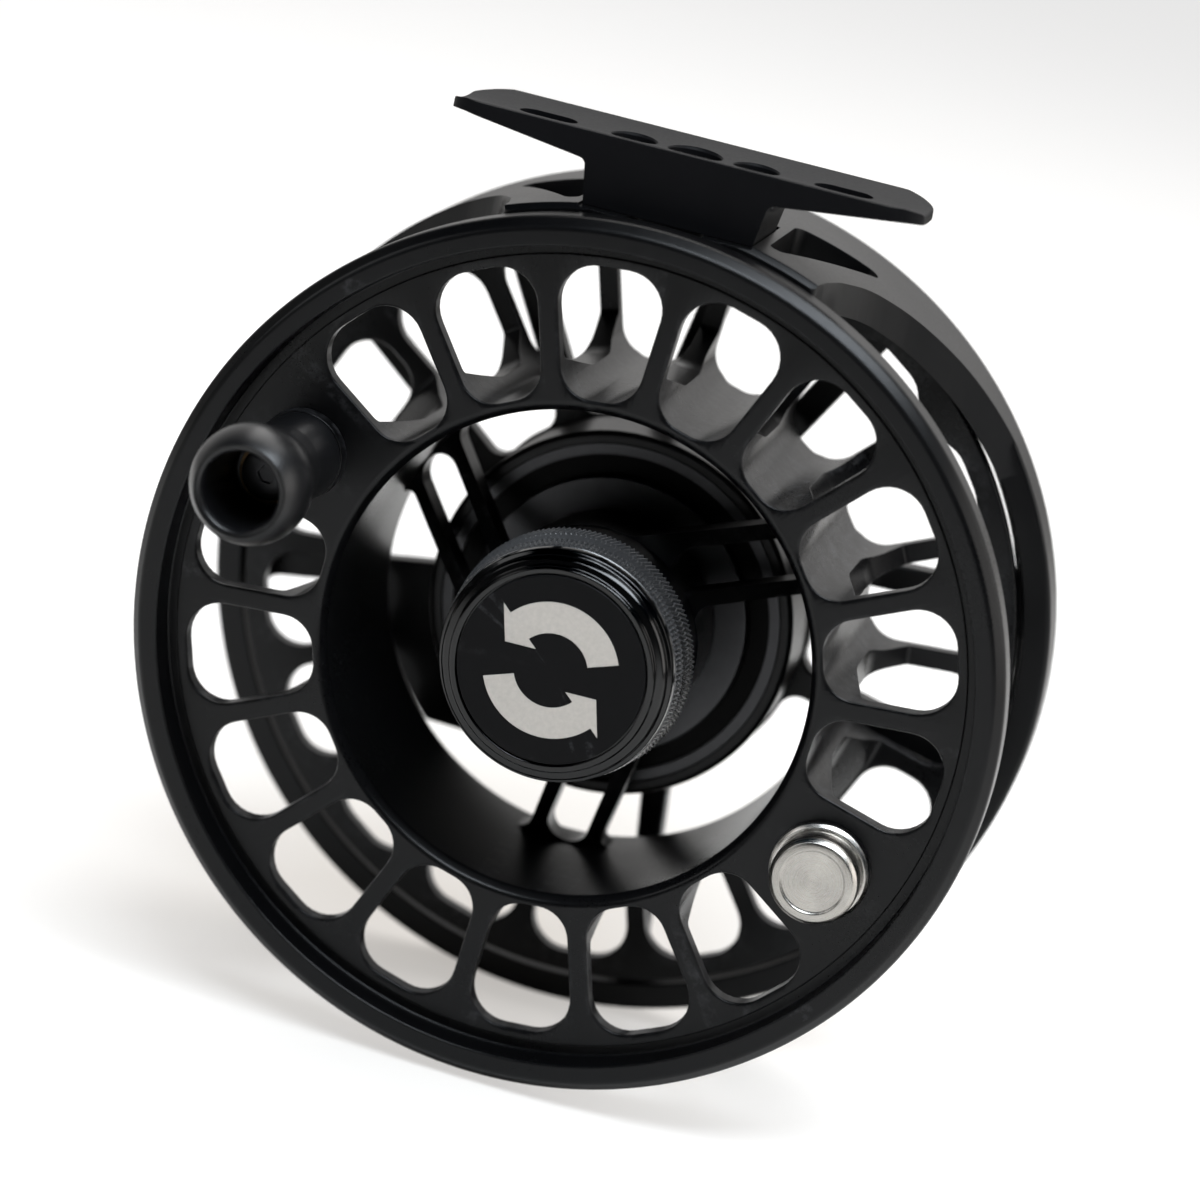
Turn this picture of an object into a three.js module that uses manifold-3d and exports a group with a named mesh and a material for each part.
// Large-arbor fly reel with a 102 mm spool, in millimetres.
// The spindle lies along Y. The front (handle side) faces -Y and the rear (drag knob) +Y.
// The foot is on top (+Z) with its length along X.
// Dimensions are taken from the spindle axis and the front face of the spool's web (y = 0).
// The finished group is moved so that the origin is the centre of the overall box.
import * as THREE from "three";
import { mergeVertices } from "three/addons/utils/BufferGeometryUtils.js";
import ManifoldModule from "manifold-3d";

const manifold = await ManifoldModule();
manifold.setup();
const { Manifold, Mesh: ManifoldMesh } = manifold;

// ---- shared dimensions --------------------------------------------------
const LARGE_SEGMENTS = 45; // facets round the large turned parts
const SPINDLE_R = 3.2;
const HANDLE_FRONT = -22.9;
const DRAG_KNOB_REAR = 44.6;
const CENTRE_Y = (HANDLE_FRONT + DRAG_KNOB_REAR) / 2;
const CENTRE_Z = 3.563; // middle of the faceted solids' height

// Handle and counterweight sit on two opposite sectors of the web that have no window.
const HANDLE_SECTOR = 155;
const COUNTER_SECTOR = HANDLE_SECTOR - 180;
const HANDLE_POINT = polar(37.9, 156.4);
const COUNTER_POINT = polar(37.7, COUNTER_SECTOR);

const DRIVE_PIN_POINTS = pointsAround(3, 11.25, 90);
const THRUST_PIN_POINTS = pointsAround(3, 9, 30);
const CLICK_ANGLE = 200;
const CLICK_POINT = polar(15, CLICK_ANGLE);
const DETENT_PITCH_R = 12.6;
const DETENT_ANGLE = 90;
const DETENT_POINT = polar(DETENT_PITCH_R, DETENT_ANGLE);

const PAD_Z = 50.35; // flat on the frame that carries the foot
const FOOT_FRONT = 4.2;
const FOOT_REAR = 19.2;
const FOOT_SCREW_PITCH = 7.2;
const FOOT_SCREW_Y = (FOOT_FRONT + FOOT_REAR) / 2;
const FOOT_SCREW_POINTS = [-1, 0, 1].map((k) => [k * FOOT_SCREW_PITCH, FOOT_SCREW_Y]);

// ---- points and outlines ------------------------------------------------
function rad(degrees) {
  return (degrees * Math.PI) / 180;
}
function polar(radius, degrees) {
  return [radius * Math.cos(rad(degrees)), radius * Math.sin(rad(degrees))];
}
function pointsAround(count, radius, start = 0) {
  return Array.from({ length: count }, (_, k) => polar(radius, start + (k * 360) / count));
}
function arc(radius, from, to, steps, [cx, cy] = [0, 0]) {
  return Array.from({ length: steps + 1 }, (_, k) => {
    const [x, y] = polar(radius, from + ((to - from) * k) / steps);
    return [cx + x, cy + y];
  });
}
function rotated([x, z], degrees) {
  const cos = Math.cos(rad(degrees));
  const sin = Math.sin(rad(degrees));
  return [x * cos - z * sin, x * sin + z * cos];
}
const rectangle = (x0, x1, y0, y1) => [[x0, y0], [x1, y0], [x1, y1], [x0, y1]];

// Angle in degrees that a sideways offset takes up at a radius.
const offsetAngle = (radius, offset) => (Math.asin(offset / radius) * 180) / Math.PI;

// Corner radii for a run of points whose two ends alone are rounded.
const endRadii = (points, radius) =>
  points.map((_, i) => (i === 0 || i === points.length - 1 ? radius : 0));

// Rounds the corners of a polygon. Radii are one number, or one per corner with 0 for sharp.
function rounded(points, radii, steps) {
  const corners = points.map((point) => new THREE.Vector2(...point));
  const count = corners.length;
  return corners.flatMap((corner, i) => {
    const radius = Array.isArray(radii) ? radii[i] : radii;
    if (!radius) return [points[i]];
    const before = corners[(i + count - 1) % count].clone().sub(corner);
    const after = corners[(i + 1) % count].clone().sub(corner);
    const longest = 0.49 * Math.min(before.length(), after.length());
    before.normalize();
    after.normalize();
    const halfAngle = Math.acos(Math.max(-1, Math.min(1, before.dot(after)))) / 2;
    const setback = Math.min(radius / Math.tan(halfAngle), longest);
    const fitted = setback * Math.tan(halfAngle);
    const bisector = before.clone().add(after).normalize();
    const centre = corner.clone().addScaledVector(bisector, fitted / Math.sin(halfAngle));
    const angleTo = (side) => {
      const tangent = corner.clone().addScaledVector(side, setback).sub(centre);
      return Math.atan2(tangent.y, tangent.x);
    };
    const start = angleTo(before);
    let sweep = angleTo(after) - start;
    if (sweep > Math.PI) sweep -= 2 * Math.PI;
    if (sweep < -Math.PI) sweep += 2 * Math.PI;
    return Array.from({ length: steps + 1 }, (_, k) => {
      const angle = start + (sweep * k) / steps;
      return [centre.x + fitted * Math.cos(angle), centre.y + fitted * Math.sin(angle)];
    });
  });
}

// ---- solids -------------------------------------------------------------
// Welds a closed geometry into a solid and turns it outward if it is inside out.
function toSolid(geometry) {
  const bare = new THREE.BufferGeometry();
  bare.setAttribute("position", geometry.getAttribute("position"));
  bare.setIndex(geometry.index);
  const welded = mergeVertices(bare, 1e-4);
  const index = welded.index.array;
  const triangles = [];
  for (let i = 0; i < index.length; i += 3) {
    const [a, b, c] = index.slice(i, i + 3);
    if (a !== b && b !== c && a !== c) triangles.push(a, b, c);
  }
  const build = () => new Manifold(new ManifoldMesh({
    numProp: 3,
    vertProperties: new Float32Array(welded.attributes.position.array),
    triVerts: new Uint32Array(triangles),
  }));
  const solid = build();
  if (solid.volume() >= 0) return solid;
  for (let i = 0; i < triangles.length; i += 3) {
    [triangles[i + 1], triangles[i + 2]] = [triangles[i + 2], triangles[i + 1]];
  }
  return build();
}
// Closed profile of [radius, y] points turned about Y.
function turn(profile, segments = LARGE_SEGMENTS) {
  const points = [...profile, profile[0]].map((point) => new THREE.Vector2(...point));
  return toSolid(new THREE.LatheGeometry(points, segments));
}
const tube = (inner, outer, y0, y1, segments) => turn(rectangle(inner, outer, y0, y1), segments);

function rodY(radius, y0, y1, segments, [x, z] = [0, 0]) {
  const geometry = new THREE.CylinderGeometry(radius, radius, y1 - y0, segments);
  return toSolid(geometry.translate(x, (y0 + y1) / 2, z));
}
function rodZ(radius, z0, z1, segments, [x, y]) {
  const geometry = new THREE.CylinderGeometry(radius, radius, z1 - z0, segments);
  return toSolid(geometry.rotateX(Math.PI / 2).translate(x, y, (z0 + z1) / 2));
}
const shapeOf = (points) => new THREE.Shape(points.map((point) => new THREE.Vector2(...point)));
const extrude = (points, depth) =>
  new THREE.ExtrudeGeometry(shapeOf(points), { depth, bevelEnabled: false });

// Outline in (x, z) run along Y.
function prismY(points, y0, y1) {
  return toSolid(extrude(points, y1 - y0).rotateX(Math.PI / 2).translate(0, y1, 0));
}
// Outline in (x, y) run along Z.
function prismZ(points, z0, z1) {
  return toSolid(extrude(points, z1 - z0).translate(0, 0, z0));
}
// Ring with a gap centred on an angle in degrees.
function openRing(inner, outer, gap, gapAngle, steps, y0, y1) {
  const from = gapAngle + gap / 2;
  const to = from + 360 - gap;
  return prismY([...arc(outer, from, to, steps), ...arc(inner, to, from, steps)], y0, y1);
}
function oRing(radius, sectionRadius, y, segments) {
  const geometry = new THREE.TorusGeometry(radius, sectionRadius, 6, segments);
  return toSolid(geometry.rotateX(Math.PI / 2).translate(0, y, 0));
}
// Coil spring along Y between y0 and y1, with a five-sided wire.
function coil({ radius, wire, y0, y1, turns, centre: [x, z], stepsPerTurn }) {
  class Helix extends THREE.Curve {
    getPoint(t, target = new THREE.Vector3()) {
      const angle = t * turns * 2 * Math.PI;
      const y = y0 + wire + t * (y1 - y0 - 2 * wire);
      return target.set(x + radius * Math.cos(angle), y, z + radius * Math.sin(angle));
    }
  }
  return toSolid(new THREE.ExtrudeGeometry(shapeOf(pointsAround(5, wire)), {
    steps: Math.round(turns * stepsPerTurn),
    extrudePath: new Helix(),
    bevelEnabled: false,
  }));
}
// Skin through sections [y, [[x, z], ...]] along Y, closed by flat ends.
function loftY(sections) {
  const count = sections[0][1].length;
  const last = (sections.length - 1) * count;
  const positions = sections.flatMap(([y, points]) => points.flatMap(([x, z]) => [x, y, z]));
  const index = [];
  for (let start = 0; start < last; start += count) {
    for (let k = 0; k < count; k++) {
      const a = start + k;
      const b = start + ((k + 1) % count);
      index.push(a, b, b + count, a, b + count, a + count);
    }
  }
  const endFaces = (points) =>
    THREE.ShapeUtils.triangulateShape(points.map((point) => new THREE.Vector2(...point)), []);
  for (const [i, j, k] of endFaces(sections[0][1])) index.push(i, k, j);
  for (const [i, j, k] of endFaces(sections.at(-1)[1])) index.push(last + i, last + j, last + k);
  const geometry = new THREE.BufferGeometry();
  geometry.setAttribute("position", new THREE.Float32BufferAttribute(positions, 3));
  geometry.setIndex(index);
  return toSolid(geometry);
}
const join = (first, ...others) => others.reduce((sum, other) => sum.add(other), first);
const cut = (body, ...tools) => tools.reduce((rest, tool) => rest.subtract(tool), body);

// ---- materials and parts ------------------------------------------------
const MATERIALS = {
  anodised: { color: 0x15161a, roughness: 0.42, metalness: 0.85 },
  anodised_gloss: { color: 0x0b0b0d, roughness: 0.18, metalness: 0.9 },
  steel: { color: 0xb9b7b2, roughness: 0.3, metalness: 1 },
  polymer: { color: 0x141415, roughness: 0.55, metalness: 0 },
  rubber: { color: 0x0d0d0d, roughness: 0.85, metalness: 0 },
  bronze: { color: 0x8c6a3a, roughness: 0.4, metalness: 1 },
  cork: { color: 0x9a6b3f, roughness: 0.95, metalness: 0 },
  carbon: { color: 0x1c1c1e, roughness: 0.6, metalness: 0.1 },
};
const group = new THREE.Group();
group.name = "fly_reel";

function part(name, solid, material) {
  const { vertProperties, triVerts } = solid.getMesh();
  const geometry = new THREE.BufferGeometry();
  geometry.setAttribute("position", new THREE.BufferAttribute(new Float32Array(vertProperties), 3));
  geometry.setIndex(new THREE.BufferAttribute(new Uint32Array(triVerts), 1));
  geometry.computeVertexNormals();
  const finish = new THREE.MeshStandardMaterial({ ...MATERIALS[material], flatShading: true });
  const mesh = new THREE.Mesh(geometry, finish);
  mesh.name = name;
  group.add(mesh);
}

// ---- spool --------------------------------------------------------------
const SPOOL_R = 50.8;
const RIM_FRONT = -3.5;
const BAND_INNER_R = 47.5; // inner edge of the raised rim band
const WEB_REAR = 2.0;
const BORE_R = 28.4;
const FLANGE_R = 47.6; // rear flange
const FLANGE_FRONT = 29.4;
const FLANGE_REAR = 31.4;
const ARBOR = [[34.2, WEB_REAR], [31.5, 13.5], [31.5, 22.5], [35.2, FLANGE_FRONT]]; // [radius, y]

const WINDOW_COUNT = 18;
const FIRST_WINDOW = 95; // degrees
const WINDOW_INNER_R = 29.9;
const FLANGE_OPENING_INNER_R = 35.2; // openings in the flange behind the two solid sectors
const WINDOW_OUTER_R = 45.1;
const WINDOW_BAR = 2.3; // constant width of the bar between two windows
const WINDOW_CORNERS = [3.9, 4.3, 4.3, 3.9];

const ARM_START = 16; // degrees
const ARM_OFFSET = 7.4; // the three arms run beside the axis, not through it
const ARM_HALF = 4.25;
const ARM_SLOT_HALF = 2.45;
const ARM_SLOT_ENDS = [10.5, 27.0];
const ARM_INNER_R = 11.5;
const ARM_OUTER_R = 29;
const ARM_THICKNESS = 3.4;
const ARM_OPENING_INNER_R = 13.3;
const ARM_OPENING_OUTER_R = 28.55;

// Front of the cone on which the arms fall back from the hub to the bore.
const armFront = (radius) => 15.85 + 0.62 * (radius - 20);

// Tapered slot with rounded corners between two bars of constant width.
function spoolWindow(angle, innerR, y0) {
  const halfSector = rad(180 / WINDOW_COUNT);
  const halfWidth = (r) => r * Math.tan(halfSector) - WINDOW_BAR / 2 / Math.cos(halfSector);
  const inner = halfWidth(innerR);
  const outer = halfWidth(WINDOW_OUTER_R);
  const outline = [
    [innerR, -inner], [WINDOW_OUTER_R, -outer], [WINDOW_OUTER_R, outer], [innerR, inner],
  ];
  return prismY(rounded(outline, WINDOW_CORNERS, 2).map((p) => rotated(p, angle)), y0, 40);
}
function spoolWindows() {
  const solidSectors = [HANDLE_SECTOR, COUNTER_SECTOR];
  const windows = [];
  for (let k = 0; k < WINDOW_COUNT; k++) {
    const angle = FIRST_WINDOW - (360 / WINDOW_COUNT) * k;
    if (solidSectors.some((sector) => (angle - sector) % 360 === 0)) continue;
    windows.push(spoolWindow(angle, WINDOW_INNER_R, -6));
  }
  for (const sector of solidSectors) {
    windows.push(spoolWindow(sector, FLANGE_OPENING_INNER_R, 24));
  }
  return windows;
}
// Opening between the arm at an angle and the next arm.
function armOpening(angle) {
  const near = ARM_OFFSET + ARM_HALF;
  const far = ARM_OFFSET - ARM_HALF;
  const edge = (radius, steps) => arc(
    radius,
    angle + offsetAngle(radius, near),
    angle + 120 + offsetAngle(radius, far),
    steps,
  );
  const outer = edge(ARM_OPENING_OUTER_R, 10);
  const inner = edge(ARM_OPENING_INNER_R, 5).reverse();
  const radii = [...endRadii(outer, 2.2), ...endRadii(inner, 1.6)];
  return prismY(rounded([...outer, ...inner], radii, 2), 5, 30);
}
// Round-ended slot down an arm.
function armSlot(angle) {
  const [start, end] = ARM_SLOT_ENDS;
  const outline = [
    ...arc(ARM_SLOT_HALF, 90, 270, 5, [start + ARM_SLOT_HALF, ARM_OFFSET]),
    ...arc(ARM_SLOT_HALF, -90, 90, 5, [end - ARM_SLOT_HALF, ARM_OFFSET]),
  ];
  return prismY(outline.map((point) => rotated(point, angle)), 5, 30);
}
function spoolArms() {
  const cone = turn([
    [ARM_INNER_R, armFront(ARM_INNER_R)],
    [ARM_OUTER_R, armFront(ARM_OUTER_R)],
    [ARM_OUTER_R, armFront(ARM_OUTER_R) + ARM_THICKNESS],
    [ARM_INNER_R, armFront(ARM_INNER_R) + ARM_THICKNESS],
  ]);
  const angles = [0, 120, 240].map((step) => ARM_START + step);
  return cut(cone, ...angles.flatMap((angle) => [armOpening(angle), armSlot(angle)]));
}
function makeSpool() {
  const body = turn([
    [BORE_R, 0.9], [BORE_R + 0.7, 0], [46.2, 0], [46.2, 0.3], [BAND_INNER_R, 0.3],
    [BAND_INNER_R, RIM_FRONT], [49.4, RIM_FRONT], [50.4, -3.1], [SPOOL_R, -2.1],
    [SPOOL_R, 1.2], [47.0, WEB_REAR], ...ARBOR, [FLANGE_R, FLANGE_FRONT],
    [FLANGE_R, FLANGE_REAR], [30.4, FLANGE_REAR], [28.4, 26.5],
  ]);
  const hub = turn([
    [9.5, 0.6], [11.2, 0.6], [11.2, 1.35], [10.1, 1.35], [10.1, 2.65], [11.2, 2.65],
    [11.2, 3.4], [13, 3.4], [13, 20.6], [9.5, 20.6],
  ], 23);
  const handleBoss = rodY(4.6, 1.5, 3.0, 18, HANDLE_POINT);
  return cut(
    join(cut(body, ...spoolWindows()), hub, spoolArms(), handleBoss),
    rodY(2.0, -1, 3.4, 12, HANDLE_POINT),
    rodY(1.6, -1, 2.6, 10, COUNTER_POINT),
    ...DRIVE_PIN_POINTS.map((point) => rodY(1.2, 17.2, 21, 8, point)),
  );
}
part("spool", makeSpool(), "anodised");

// ---- frame --------------------------------------------------------------
const RING_R = 51.6;
const RING_INNER_R = 48.3;
const RING_FRONT = 30.0;
const FRAME_REAR = 36.5;
const PLATE_FRONT = 33.0;
const PLATE_REAR = 36.0;
const CUP_R = 22.2;
const CUP_INNER_R = 20.6;
const CUP_FRONT = 22.4;
const CUP_FLOOR = 34.0;
const EDGE_BREAK = 0.5; // chamfer on the ring and cup
const SPOKE_HUB_HALF = 1.7;
// [degrees at the hub, degrees at the rim, half width at the rim]
const FRAME_SPOKES = [
  [-12, -12, 1.7], [27, 14, 1.7], [60, 60, 1.7], [91.5, 85, 1.7],
  [121, 120, 1.7], [152.5, 147, 1.7], [190, 190, 1.7], [291.2, 283, 1.2],
];
// The opening after this spoke starts at a larger radius, over a solid web,
// and comes back to the hub radius between the two angles.
const SOLID_WEB = { spoke: 190, radius: 31, endAngle: 225.9, hubAngle: 266.2 };
const BRIDGE_FRONT = 2.6;
const BRIDGE_REAR = 31.5;
// [x, y] down the +X edge of the bridge that carries the foot; the -X edge mirrors it
const BRIDGE_EDGE = [
  [18.2, BRIDGE_FRONT], [18.5, 6.0], [19.5, 10.8], [20.6, 14.0], [22.1, 17.2],
  [24.2, 19.7], [26.7, 21.7], [30.4, 24.4], [35, 27.3], [40, 30],
];
const BRIDGE_TRIANGLE = [[11.3, 4.9], [11.3, 24.2], [22.7, 26.6]]; // opening on the +X side

// Opening in the rear plate between two neighbouring spokes.
function plateOpening([hubA, rimA, rimHalfA], [hubB, rimB, rimHalfB]) {
  const plateArc = (radius, from, to) =>
    arc(radius, from, to, Math.max(1, Math.round(Math.abs(to - from) / 9)));
  const hubR = CUP_R + 0.4;
  const rimR = RING_INNER_R - 0.9;
  const hubEnd = hubB - offsetAngle(hubR, SPOKE_HUB_HALF);
  let inner, innerRadii;
  if (hubA === SOLID_WEB.spoke) {
    const { radius, endAngle, hubAngle } = SOLID_WEB;
    const web = plateArc(radius, hubA + offsetAngle(radius, SPOKE_HUB_HALF), endAngle);
    inner = [...web, ...plateArc(hubR, hubAngle, hubEnd)];
    innerRadii = endRadii(inner, 2.2);
    innerRadii[web.length - 1] = 1;
  } else {
    inner = plateArc(hubR, hubA + offsetAngle(hubR, SPOKE_HUB_HALF), hubEnd);
    innerRadii = endRadii(inner, 2.2);
  }
  const rim = plateArc(rimR, rimB - offsetAngle(rimR, rimHalfB), rimA + offsetAngle(rimR, rimHalfA));
  const radii = [...innerRadii, ...endRadii(rim, 3.6)];
  return prismY(rounded([...inner, ...rim], radii, 2), PLATE_FRONT - 1, PLATE_REAR + 1);
}
function rearPlate() {
  const [firstHub, firstRim, firstHalf] = FRAME_SPOKES[0];
  const spokes = [...FRAME_SPOKES, [firstHub + 360, firstRim + 360, firstHalf]];
  const openings = FRAME_SPOKES.map((spoke, i) => plateOpening(spoke, spokes[i + 1]));
  return cut(tube(CUP_R - 1, RING_INNER_R + 1, PLATE_FRONT, PLATE_REAR), ...openings);
}
// Part of the rim band that reaches forward under the foot.
function footBridge() {
  const plan = [
    ...BRIDGE_EDGE, [40, BRIDGE_REAR], [-40, BRIDGE_REAR],
    ...BRIDGE_EDGE.map(([x, y]) => [-x, y]).reverse(),
  ];
  const band = tube(48.2, RING_R, BRIDGE_FRONT, BRIDGE_REAR).intersect(prismZ(plan, 30, 60));
  const triangles = [-1, 1].map((side) => {
    const outline = rounded(BRIDGE_TRIANGLE, [0.8, 1.8, 1.2], 2);
    return prismZ(outline.map(([x, y]) => [side * x, y]), 30, 60);
  });
  const pad = prismZ(rectangle(-10.1, 10.1, 2, 19.4), PAD_Z - 0.05, 60);
  const frontNotch = prismZ(rounded(rectangle(-4.4, 4.4, 0, 8.4), [0, 0, 2, 2], 2), 40, 60);
  return cut(band, ...triangles, pad, frontNotch);
}
function makeFrame() {
  const ring = turn([
    [RING_INNER_R, RING_FRONT], [RING_R - EDGE_BREAK, RING_FRONT],
    [RING_R, RING_FRONT + EDGE_BREAK], [RING_R, FRAME_REAR - EDGE_BREAK],
    [RING_R - EDGE_BREAK, FRAME_REAR], [RING_INNER_R, FRAME_REAR],
  ]);
  const cup = turn([
    [CUP_INNER_R, CUP_FRONT], [CUP_R - EDGE_BREAK, CUP_FRONT], [CUP_R, CUP_FRONT + EDGE_BREAK],
    [CUP_R, FRAME_REAR], [3.05, FRAME_REAR], [3.05, CUP_FLOOR], [CUP_INNER_R, CUP_FLOOR],
    [CUP_INNER_R, 23.55], [21.15, 23.55], [21.15, 22.75], [CUP_INNER_R, 22.75],
  ], 27);
  const body = cut(
    join(ring, rearPlate(), cup, footBridge()),
    ...FOOT_SCREW_POINTS.map((point) => rodZ(1.55, 46, 54, 12, point)),
  );
  const detentBoss = rodY(2.0, 32.2, 34.2, 12, DETENT_POINT);
  return cut(
    body.add(detentBoss),
    ...THRUST_PIN_POINTS.map((point) => rodY(1.3, 33, 38, 12, point)),
    rodY(1.12, 32.6, 38, 12, DETENT_POINT),
  );
}
part("frame", makeFrame(), "anodised");

// ---- foot ---------------------------------------------------------------
const FOOT_TOP = 58.6;
const FOOT_HALF = 27.6;
const FOOT_DROP = 0.85; // depth of the trough in the top and of the bulge below
// [y, drop of the top, drop of the wings' underside]
const FOOT_SECTIONS = [
  [FOOT_FRONT, 0, 0], [5.2, 0.1, 0.2], [6.6, 0.5, 0.55], [8.4, FOOT_DROP, FOOT_DROP],
  [15.0, FOOT_DROP, FOOT_DROP], [16.8, 0.5, 0.55], [18.2, 0.1, 0.2], [FOOT_REAR, 0, 0],
];
const FOOT_SLOT_X = 17.4;
const FOOT_SLOT_HALF = [3.4, 1.8]; // along x, along y

// [x, z] outline of the wings and the stem below them.
const footSection = (topDrop, underDrop) => [
  [-10.6, 55.3 - underDrop], [-9.9, PAD_Z], [9.9, PAD_Z], [10.6, 55.3 - underDrop],
  [FOOT_HALF, 57.45 - underDrop], [27.5, FOOT_TOP - topDrop],
  [-27.5, FOOT_TOP - topDrop], [-FOOT_HALF, 57.45 - underDrop],
];
function makeFoot() {
  const corners = rectangle(-FOOT_HALF, FOOT_HALF, FOOT_FRONT, FOOT_REAR);
  const plan = rounded(corners, [4, 4, 6.4, 6.4], 5);
  const sections = FOOT_SECTIONS.map(([y, top, under]) => [y, footSection(top, under)]);
  const [slotX, slotY] = FOOT_SLOT_HALF;
  const slots = [-FOOT_SLOT_X, FOOT_SLOT_X].map((x) => {
    const outline = rectangle(x - slotX, x + slotX, FOOT_SCREW_Y - slotY, FOOT_SCREW_Y + slotY);
    return prismZ(rounded(outline, 1.75, 4), 56.2, 60);
  });
  // The stem stops short of the foot's rear edge.
  const stemRelief = prismZ(rectangle(-30, 30, 17.6, 20), 45, 54.2);
  return cut(
    loftY(sections).intersect(prismZ(plan, 40, 70)),
    ...FOOT_SCREW_POINTS.map((point) => rodZ(point[0] ? 2.6 : 3.1, 55.2, 60, 16, point)),
    ...FOOT_SCREW_POINTS.map((point) => rodZ(1.7, 49, 57, 10, point)),
    ...slots,
    stemRelief,
  );
}
part("reel_foot", makeFoot(), "anodised");

// The middle screw has the larger head.
FOOT_SCREW_POINTS.forEach((point, i) => {
  const head = rodZ(point[0] ? 2.3 : 2.7, 55.3, 56.8, 14, point);
  const shank = rodZ(1.45, 48.7, 55.4, 10, point);
  const socket = rodZ(1.15, 56.0, 58, 6, point);
  part(`foot_screw_${i + 1}`, cut(head.add(shank), socket), "steel");
});

// ---- spindle ------------------------------------------------------------
const spindle = turn([
  [0, 1.5], [SPINDLE_R - 0.3, 1.5], [SPINDLE_R, 1.8], [SPINDLE_R, 4.05], [2.75, 4.05],
  [2.75, 4.75], [SPINDLE_R, 4.75], [SPINDLE_R, 32.4], [4.6, 32.4], [4.6, 33.95],
  [3.0, 33.95], [3.0, 41.2], [0, 41.2],
], 14);
part("spindle", cut(spindle, rodY(2.05, 0, 12, 12), rodY(1.62, 37.5, 42, 8)), "steel");
part("spindle_nut", cut(rodY(5.0, 36.6, 38.2, 6), rodY(3.08, 36, 39, 18)), "steel");
part("spindle_circlip", openRing(2.85, 4.4, 70, 90, 16, 4.12, 4.7), "steel");

// ---- sealed drag --------------------------------------------------------
const DISC_R = 18.2; // both friction discs

const cover = turn([
  [8.05, 23.6], [20.45, 23.6], [20.45, 24.65], [19.2, 24.65], [19.2, 25.95],
  [20.45, 25.95], [20.45, 26.8], [6.4, 26.8], [6.4, 26.4], [8.05, 26.4],
], 27);
part("drag_housing_cover", cut(cover, rodY(1.25, 23, 26.4, 10, CLICK_POINT)), "anodised");
part("housing_circlip", openRing(19.3, 21.0, 40, 270, 30, 22.82, 23.5), "steel");
part("cover_oring", oRing(19.9, 0.5, 25.3, 27), "rubber");
part("shaft_seal", turn([
  [5.45, 25.2], [5.9, 24.2], [7.9, 24.2], [7.9, 26.3], [7.2, 26.3], [7.2, 25.1],
], 18), "rubber");
part("drag_rotor", turn([
  [3.92, 10.6], [5.3, 10.6], [5.3, 27.6], [18.3, 27.6], [18.3, 29.2], [5.3, 29.2],
  [5.3, 31.6], [3.92, 31.6],
], 23), "steel");
part("rotor_bush", tube(SPINDLE_R + 0.12, 3.86, 10.7, 31.5, 14), "bronze");
part("friction_disc_front", tube(6.9, DISC_R, 26.85, 27.52, 18), "cork");
part("friction_disc_rear", tube(7.2, DISC_R, 29.82, 30.48, 18), "carbon");

const edgeNotches = pointsAround(3, 19.4, 45).map((point) => rodY(1.0, 30, 32, 8, point));
part("pressure_plate", cut(tube(6.2, 19.2, 30.5, 31.7, 18), ...edgeNotches), "steel");

// Coned washer given by the front of its inner and outer edges.
function springWasher(innerY, outerY) {
  const thickness = 0.35;
  return turn([
    [6.6, innerY], [6.6, innerY + thickness], [10.1, outerY + thickness], [10.1, outerY],
  ], 18);
}
part("drag_spring_washer_1", springWasher(31.73, 32.18), "steel");
part("drag_spring_washer_2", springWasher(33.01, 32.56), "steel");
part("thrust_ring", tube(7.4, 10.2, 33.4, 33.85, 18), "steel");
THRUST_PIN_POINTS.forEach((point, i) => {
  part(`thrust_pin_${i + 1}`, rodY(1.2, 33.87, 37.2, 12, point), "steel");
});
part("thrust_washer", tube(6.0, 10.8, 37.22, 38.2, 18), "bronze");

// ---- one-way clutch and drive hub ---------------------------------------
const driveHub = turn([
  [7.56, 5.0], [9.35, 5.0], [9.35, 20.8], [12.7, 20.8], [12.7, 21.58], [7.56, 21.58],
  [7.56, 10.4], [6.5, 10.4], [6.5, 9.4], [7.56, 9.4],
], 23);
const drivePinHoles = DRIVE_PIN_POINTS.map((point) => rodY(1.04, 20, 23, 8, point));
part("drive_hub", cut(driveHub, ...drivePinHoles), "anodised");
DRIVE_PIN_POINTS.forEach((point, i) => {
  part(`drive_pin_${i + 1}`, rodY(1.0, 17.5, 21.56, 8, point), "steel");
});
part("clutch_shell", tube(6.95, 7.5, 11, 19.4, 23), "steel");
const rollers = pointsAround(8, 6.1).map((point) => rodY(0.72, 11.8, 18.6, 6, point));
part("clutch_rollers", join(tube(5.8, 6.45, 11.4, 19.0, 18), ...rollers), "steel");

// ---- click --------------------------------------------------------------
const CLICK_RING_REAR = 22.6;
const CLICK_NOTCHES = 24;

// Radial V notch in the rear face, half a pitch away from the plunger or further.
function clickNotch(k) {
  const geometry = new THREE.BoxGeometry(4.5, 0.7, 0.7);
  geometry.rotateX(Math.PI / 4).translate(15.4, CLICK_RING_REAR, 0);
  return toSolid(geometry.rotateY(-rad(((k + 0.5) * 360) / CLICK_NOTCHES + CLICK_ANGLE)));
}
const clickNotches = Array.from({ length: CLICK_NOTCHES }, (_, k) => clickNotch(k));
part("click_ring", cut(tube(8.3, 16.8, 21.6, CLICK_RING_REAR, 18), ...clickNotches), "steel");
const plunger = turn([
  [0, 22.7], [0.5, 22.78], [0.9, 23.05], [1.12, 23.5], [1.12, 25.0], [0.85, 25.0],
  [0.85, 23.65], [0, 23.65],
], 11);
part("click_plunger", placed(plunger, CLICK_POINT), "steel");
part("click_spring", coil({
  radius: 0.55, wire: 0.13, y0: 24.2, y1: 26.37, turns: 3, centre: CLICK_POINT, stepsPerTurn: 7,
}), "steel");

// Moves a solid built on the Y axis to an [x, z] point.
function placed(solid, [x, z]) {
  return solid.translate([x, 0, z]);
}

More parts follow.
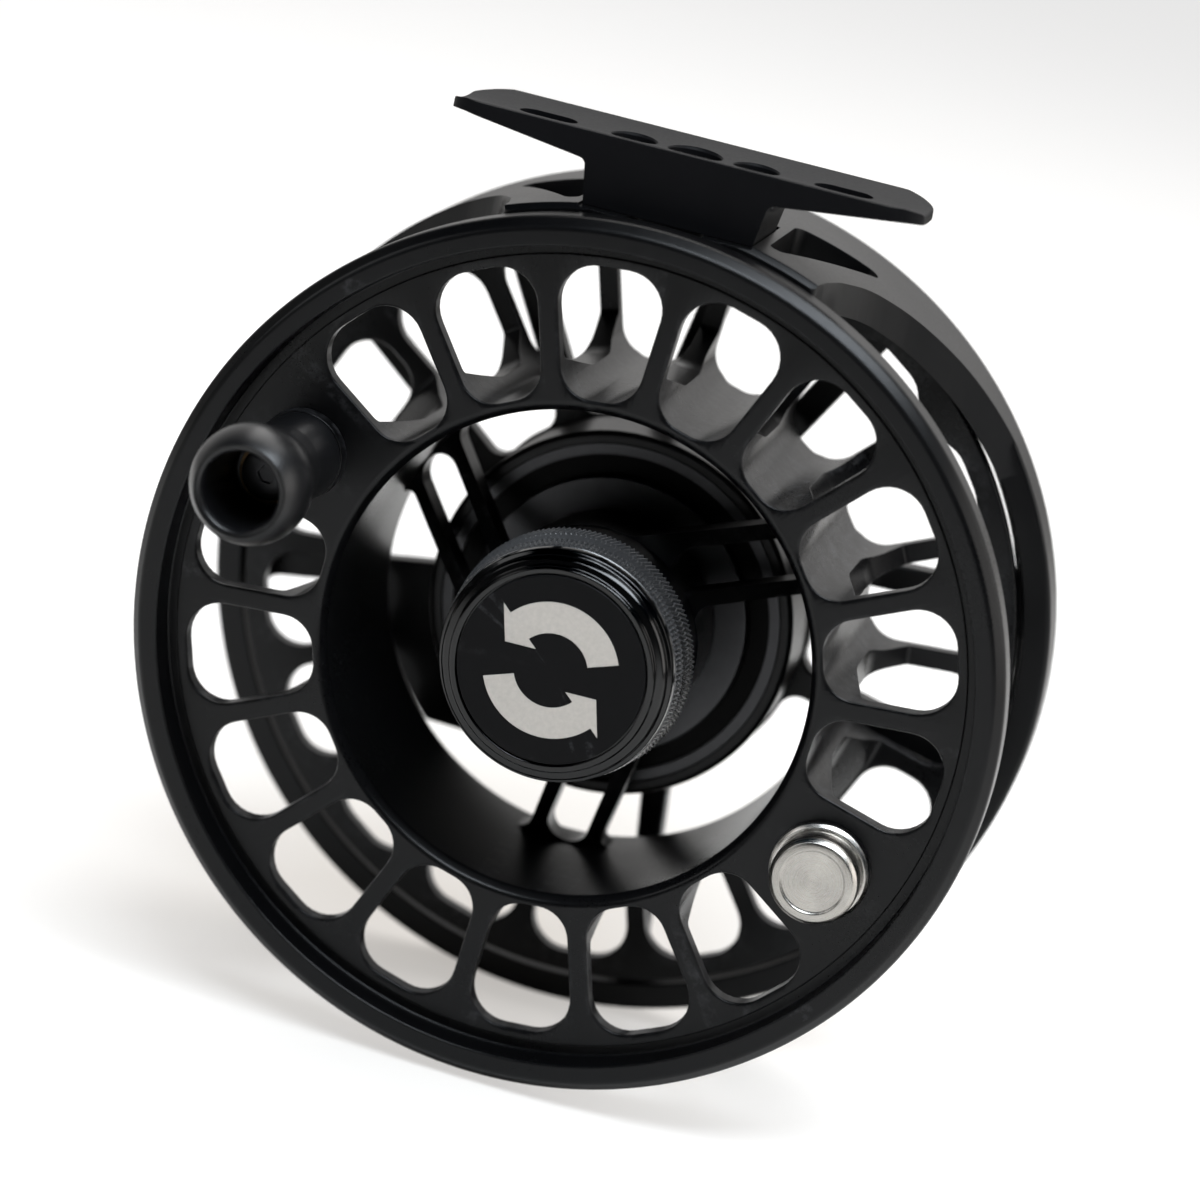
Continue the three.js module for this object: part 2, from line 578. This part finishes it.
// ---- front spindle bearing ----------------------------------------------
const BEARING_FRONT = 5.2;
const BEARING_REAR = 9.2;
const BEARING_MID = (BEARING_FRONT + BEARING_REAR) / 2;
const RACE_INNER_R = 4.4;
const RACE_OUTER_R = 6.3;
const BALL_PITCH_R = (RACE_INNER_R + RACE_OUTER_R) / 2;
const CAGE_HALF = 0.3; // half the cage's thickness and width

part("bearing_inner_ring",
  tube(SPINDLE_R + 0.05, RACE_INNER_R, BEARING_FRONT, BEARING_REAR, 14), "steel");
part("bearing_outer_ring", tube(RACE_OUTER_R, 7.5, BEARING_FRONT, BEARING_REAR, 23), "steel");
const cage = tube(
  BALL_PITCH_R - CAGE_HALF, BALL_PITCH_R + CAGE_HALF,
  BEARING_MID - CAGE_HALF, BEARING_MID + CAGE_HALF, 18,
);
const balls = pointsAround(8, BALL_PITCH_R).map(([x, z]) =>
  toSolid(new THREE.IcosahedronGeometry(0.86, 0).translate(x, BEARING_MID, z)));
part("bearing_balls", join(cage, ...balls), "steel");

// ---- spool release cap --------------------------------------------------
part("cap_body", turn([
  [2.1, -2.5], [4.7, -2.5], [4.7, -5.35], [11.1, -5.35], [11.1, -6.0], [11.6, -6.0],
  [12.1, -5.45], [12.8, -5.2], [13.1, -4.3], [13.6, -4.0], [13.65, -2.9], [13.8, -2.7],
  [14.0, -0.9], [13.65, -0.8], [14.05, -0.7], [14.3, 1.05], [13.95, 1.15], [14.35, 1.25],
  [14.6, 3.1], [11.6, 3.1], [11.6, -0.5], [2.1, -0.5],
], 23), "anodised_gloss");
part("cap_face_disc", rodY(10.95, -6.0, -5.4, 30), "anodised");
const capScrew = rodY(4.5, -5.0, -2.55, 20).add(rodY(1.9, -2.6, 9, 16));
part("cap_screw", cut(capScrew, rodY(1.5, -6, -3.9, 6)), "steel");
part("cap_thrust_washer", tube(2.3, 9.2, -0.45, 0.25, 15), "polymer");
part("cap_oring", oRing(10.88, 0.52, 2.0, 22), "rubber");

// ---- handle -------------------------------------------------------------
const handlePart = (name, solid, material) => part(name, placed(solid, HANDLE_POINT), material);
const handlePin = turn([
  [0, 2.95], [1.9, 2.95], [1.9, -1.55], [2.0, -1.6], [2.0, -12.1], [0, -12.1],
], 12);
handlePart("handle_pin", cut(handlePin, rodY(1.05, -13, -7, 10)), "steel");
handlePart("handle_collar", tube(1.96, 5.3, -1.5, -0.02, 18), "anodised");
handlePart("handle_knob", turn([
  [2.85, -1.75], [5.1, -1.75], [5.0, -4.5], [4.85, -8.5], [4.95, -11.6], [5.6, -14.2],
  [6.45, -16.6], [6.8, -18.9], [6.65, -20.6], [6.1, -22.1], [5.4, -22.8],
  [5.0, HANDLE_FRONT], [4.6, -22.8], [4.35, -22.3], [4.25, -20.5], [4.25, -11.2],
  [2.85, -11.2],
], 18), "polymer");
handlePart("handle_bush_rear", tube(2.1, 2.7, -4.6, -1.65, 12), "bronze");
handlePart("handle_bush_front", turn([
  [2.1, -8.6], [2.7, -8.6], [2.7, -11.25], [3.6, -11.25], [3.6, -12.0], [2.1, -12.0],
], 12), "bronze");
const handleScrew = rodY(1.0, -12.2, -7.5, 8).add(rodY(3.1, -13.1, -12.15, 16));
handlePart("handle_screw", cut(handleScrew, rodY(1.1, -14, -12.7, 6)), "steel");

// ---- counterweight ------------------------------------------------------
const counterPart = (name, solid) => part(name, placed(solid, COUNTER_POINT), "steel");
counterPart("counterweight_collar", tube(1.62, 5.8, -1.55, -0.02, 18));
const button = turn([
  [0, -1.6], [5.1, -1.6], [5.1, -4.3], [4.8, -4.95], [4.1, -5.2], [3.6, -5.2],
  [3.6, -4.95], [0, -4.95],
], 18);
counterPart("counterweight_button", cut(button, rodY(1.58, -4.1, -1, 10)));
counterPart("counterweight_stud", rodY(1.48, -3.9, 1.9, 10));

// ---- rear drag knob -----------------------------------------------------
const flutes = pointsAround(8, 16.2, 22.5).map((point) => rodY(3.2, 36, 46, 12, point));
const detentPits = pointsAround(8, DETENT_PITCH_R, DETENT_ANGLE).map(([x, z]) =>
  toSolid(new THREE.ConeGeometry(0.7, 0.6, 5).translate(x, 37.2, z)));
const dragKnob = turn([
  [3.15, 38.6], [11.2, 38.6], [11.2, 37.0], [13.6, 37.0], [14.0, 37.4], [14.0, 43.4],
  [13.0, DRAG_KNOB_REAR], [8.2, DRAG_KNOB_REAR], [8.2, 43.4], [3.4, 43.4], [3.4, 42.0],
  [1.75, 42.0], [1.75, 41.5], [3.15, 41.5],
], 23);
part("drag_knob", cut(dragKnob, ...flutes, ...detentPits), "anodised");
const dragKnobScrew = rodY(1.5, 38.2, 42.1, 12).add(rodY(3.2, 42.1, 43.2, 16));
part("drag_knob_screw", cut(dragKnobScrew, rodY(1.3, 42.6, 44, 6)), "steel");
part("drag_knob_cover", rodY(8.05, 43.45, 44.5, 30), "anodised_gloss");
const [detentX, detentZ] = DETENT_POINT;
const detentBall = toSolid(new THREE.IcosahedronGeometry(1.0, 1));
part("knob_detent_ball", detentBall.translate([detentX, 35.85, detentZ]), "steel");
part("knob_detent_spring", coil({
  radius: 0.75, wire: 0.15, y0: 32.65, y1: 34.5, turns: 2.6, centre: DETENT_POINT,
  stepsPerTurn: 8,
}), "steel");

group.position.set(0, -CENTRE_Y, -CENTRE_Z);
export default group;
